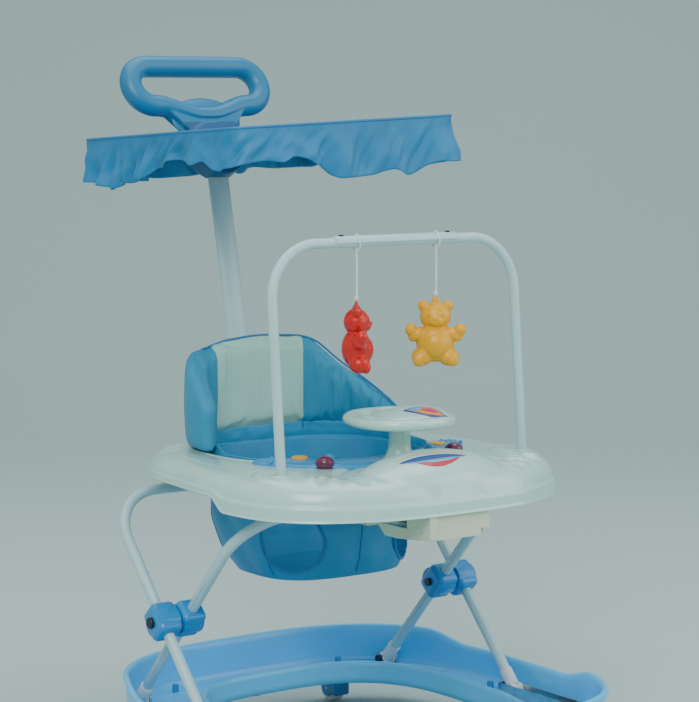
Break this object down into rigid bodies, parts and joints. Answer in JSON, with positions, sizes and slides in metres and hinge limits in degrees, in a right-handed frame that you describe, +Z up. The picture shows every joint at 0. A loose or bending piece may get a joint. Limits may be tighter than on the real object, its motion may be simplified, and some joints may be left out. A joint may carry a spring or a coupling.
{
  "type": "baby walker",
  "caption": "Folding baby walker: play tray with steering wheel and toy bar on a scissor frame, fabric seat, castor base, canopy and push handle.",
  "frame": {"origin": "centre of the bounding box's bottom, on the floor under the middle of the walker", "axes": "+X to the child's left, -Y towards the front, +Z up"},
  "size_m": [0.6027, 0.7874, 1.0167],
  "materials": {
    "base_blue": "moulded gloss",
    "tray_mint": "high gloss",
    "tube_white": "gloss enamel",
    "joint_blue": "moulded semi gloss",
    "dark_steel": "blackened",
    "bright_steel": "zinc plated",
    "white_nylon": "nylon",
    "grey_rubber": "moulded rubber",
    "caster_blue": "moulded",
    "wheel_white": "moulded",
    "console_blue": "moulded gloss",
    "yellow_plastic": "gloss",
    "maroon_plastic": "gloss",
    "red_plastic": "blow moulded gloss",
    "cream_plastic": "moulded",
    "grey_plastic": "moulded",
    "printed_film": "printed sticker",
    "blue_fabric": "satin weave",
    "canopy_fabric": "thin satin",
    "cord_cotton": "braided cord",
    "handle_blue": "satin moulded"
  },
  "bodies": {
    "base": {"base_shell": "base_blue", "guide_rails": "bright_steel", "rear_pivot_brackets": "bright_steel", "rear_pivot_pins": "dark_steel", "stopper_pads": "grey_rubber"},
    "inner_frame": {"inner_frame_tube": "tube_white", "inner_joint_block_left": "joint_blue", "inner_joint_block_right": "joint_blue", "pivot_bushes": "white_nylon"},
    "outer_frame": {"outer_frame_tube": "tube_white", "outer_joint_block_left": "joint_blue", "outer_joint_block_right": "joint_blue", "joint_bolts": "dark_steel", "slide_shoes": "white_nylon"},
    "tray": {"tray_shell": "tray_mint", "console_deck": "console_blue", "steering_column": "tray_mint", "rear_tube_saddles": "cream_plastic", "tray_screws": "bright_steel", "pole_socket": "tray_mint", "adjuster_housing": "cream_plastic", "adjuster_lever_pin": "bright_steel", "music_module": "grey_plastic", "battery_door": "grey_plastic", "speaker": "grey_plastic", "bonnet_decal": "printed_film", "seat_sling": "blue_fabric", "backrest_cushion": "blue_fabric"},
    "adjuster_catch": {"adjuster_lever": "cream_plastic"},
    "steering": {"steering_wheel": "tray_mint", "steering_badge": "printed_film"},
    "toy_bar": {"toy_bar": "tube_white", "toy_bar_sleeve": "tube_white", "toy_bar_rivets": "dark_steel"},
    "red_toy": {"toy_bear_red": "red_plastic", "toy_cord_red": "cord_cotton"},
    "yellow_toy": {"toy_bear_yellow": "yellow_plastic", "toy_cord_yellow": "cord_cotton"},
    "push_handle": {"handle_pole": "tube_white", "handle_ring": "handle_blue", "handle_screw": "dark_steel"},
    "canopy": {"canopy_frame": "bright_steel", "canopy_fabric": "canopy_fabric", "canopy_brackets": "handle_blue"},
    "yellow_button_right": {"yellow_button_right": "yellow_plastic"},
    "yellow_button_left": {"yellow_button_left": "yellow_plastic"},
    "maroon_knob_right": {"maroon_knob_right": "maroon_plastic"},
    "maroon_knob_left": {"maroon_knob_left": "maroon_plastic"},
    "caster_front_right": {"caster_fork_front_right": "caster_blue"},
    "wheel_front_right": {"caster_wheel_front_right": "wheel_white"},
    "caster_front_left": {"caster_fork_front_left": "caster_blue"},
    "wheel_front_left": {"caster_wheel_front_left": "wheel_white"},
    "caster_middle_right": {"caster_fork_middle_right": "caster_blue"},
    "wheel_middle_right": {"caster_wheel_middle_right": "wheel_white"},
    "caster_middle_left": {"caster_fork_middle_left": "caster_blue"},
    "wheel_middle_left": {"caster_wheel_middle_left": "wheel_white"},
    "caster_rear_right": {"caster_fork_rear_right": "caster_blue"},
    "wheel_rear_right": {"caster_wheel_rear_right": "wheel_white"},
    "caster_rear_left": {"caster_fork_rear_left": "caster_blue"},
    "wheel_rear_left": {"caster_wheel_rear_left": "wheel_white"}
  },
  "joints": [
    {"name": "frame_fold", "type": "hinge", "parent": "base", "child": "inner_frame", "pos_m": [0, 0.16357, 0.065], "axis": [1, 0, 0], "range_deg": [0, 28]},
    {"name": "scissor_cross", "type": "hinge", "parent": "inner_frame", "child": "outer_frame", "pos_m": [0, 0.027, 0.213], "axis": [1, 0, 0], "range_deg": [-56.5, 0.5]},
    {"name": "tray_hinge", "type": "hinge", "parent": "outer_frame", "child": "tray", "pos_m": [0, 0.17649, 0.375], "axis": [1, 0, 0], "range_deg": [-0.5, 28.5]},
    {"name": "adjuster_release", "type": "hinge", "parent": "tray", "child": "adjuster_catch", "pos_m": [0, -0.296, 0.366], "axis": [1, 0, 0], "range_deg": [-4, 0], "stiffness_Nm_per_rad": 0.6, "springref_deg": 20.05},
    {"name": "steering_turn", "type": "hinge", "parent": "tray", "child": "steering", "pos_m": [0, -0.175, 0.504], "axis": [0, 0, 1], "range_deg": [-90, 90]},
    {"name": "toy_bar_pull", "type": "slide", "parent": "tray", "child": "toy_bar", "axis": [0, 0.087, 0.9962], "range_m": [0, 0.03]},
    {"name": "red_toy_swing", "type": "hinge", "parent": "toy_bar", "child": "red_toy", "pos_m": [-0.066, -0.163, 0.754], "axis": [1, 0, 0], "range_deg": [-40, 40]},
    {"name": "yellow_toy_swing", "type": "hinge", "parent": "toy_bar", "child": "yellow_toy", "pos_m": [0.072, -0.163, 0.754], "axis": [1, 0, 0], "range_deg": [-40, 40]},
    {"name": "handle_pull", "type": "slide", "parent": "tray", "child": "push_handle", "axis": [0, 0.2164, 0.9763], "range_m": [0, 0.06]},
    {"name": "canopy_tilt", "type": "hinge", "parent": "push_handle", "child": "canopy", "pos_m": [0, 0.306, 0.869], "axis": [1, 0, 0], "range_deg": [-6, 6]},
    {"name": "yellow_button_right_press", "type": "slide", "parent": "tray", "child": "yellow_button_right", "axis": [0, 0, -1], "range_m": [0, 0.0025], "stiffness_N_per_m": 300, "springref_m": -0.002},
    {"name": "yellow_button_left_press", "type": "slide", "parent": "tray", "child": "yellow_button_left", "axis": [0, 0, -1], "range_m": [0, 0.0025], "stiffness_N_per_m": 300, "springref_m": -0.002},
    {"name": "maroon_knob_right_press", "type": "slide", "parent": "tray", "child": "maroon_knob_right", "axis": [0, 0, -1], "range_m": [0, 0.0025], "stiffness_N_per_m": 300, "springref_m": -0.002},
    {"name": "maroon_knob_left_press", "type": "slide", "parent": "tray", "child": "maroon_knob_left", "axis": [0, 0, -1], "range_m": [0, 0.0025], "stiffness_N_per_m": 300, "springref_m": -0.002},
    {"name": "swivel_front_right", "type": "hinge", "parent": "base", "child": "caster_front_right", "pos_m": [-0.15, -0.338, 0.06], "axis": [0, 0, 1], "continuous": true},
    {"name": "roll_front_right", "type": "hinge", "parent": "caster_front_right", "child": "wheel_front_right", "pos_m": [-0.15, -0.324, 0.021], "axis": [1, 0, 0], "continuous": true},
    {"name": "swivel_front_left", "type": "hinge", "parent": "base", "child": "caster_front_left", "pos_m": [0.15, -0.338, 0.06], "axis": [0, 0, 1], "continuous": true},
    {"name": "roll_front_left", "type": "hinge", "parent": "caster_front_left", "child": "wheel_front_left", "pos_m": [0.15, -0.324, 0.021], "axis": [1, 0, 0], "continuous": true},
    {"name": "swivel_middle_right", "type": "hinge", "parent": "base", "child": "caster_middle_right", "pos_m": [-0.248, -0.074, 0.06], "axis": [0, 0, 1], "continuous": true},
    {"name": "roll_middle_right", "type": "hinge", "parent": "caster_middle_right", "child": "wheel_middle_right", "pos_m": [-0.248, -0.06, 0.021], "axis": [1, 0, 0], "continuous": true},
    {"name": "swivel_middle_left", "type": "hinge", "parent": "base", "child": "caster_middle_left", "pos_m": [0.248, -0.074, 0.06], "axis": [0, 0, 1], "continuous": true},
    {"name": "roll_middle_left", "type": "hinge", "parent": "caster_middle_left", "child": "wheel_middle_left", "pos_m": [0.248, -0.06, 0.021], "axis": [1, 0, 0], "continuous": true},
    {"name": "swivel_rear_right", "type": "hinge", "parent": "base", "child": "caster_rear_right", "pos_m": [-0.15, 0.188, 0.06], "axis": [0, 0, 1], "continuous": true},
    {"name": "roll_rear_right", "type": "hinge", "parent": "caster_rear_right", "child": "wheel_rear_right", "pos_m": [-0.15, 0.202, 0.021], "axis": [1, 0, 0], "continuous": true},
    {"name": "swivel_rear_left", "type": "hinge", "parent": "base", "child": "caster_rear_left", "pos_m": [0.15, 0.188, 0.06], "axis": [0, 0, 1], "continuous": true},
    {"name": "roll_rear_left", "type": "hinge", "parent": "caster_rear_left", "child": "wheel_rear_left", "pos_m": [0.15, 0.202, 0.021], "axis": [1, 0, 0], "continuous": true}
  ],
  "couplings": [
    {"joint": "scissor_cross", "follows": "frame_fold", "ratio": -2},
    {"joint": "tray_hinge", "follows": "frame_fold", "ratio": 1}
  ]
}
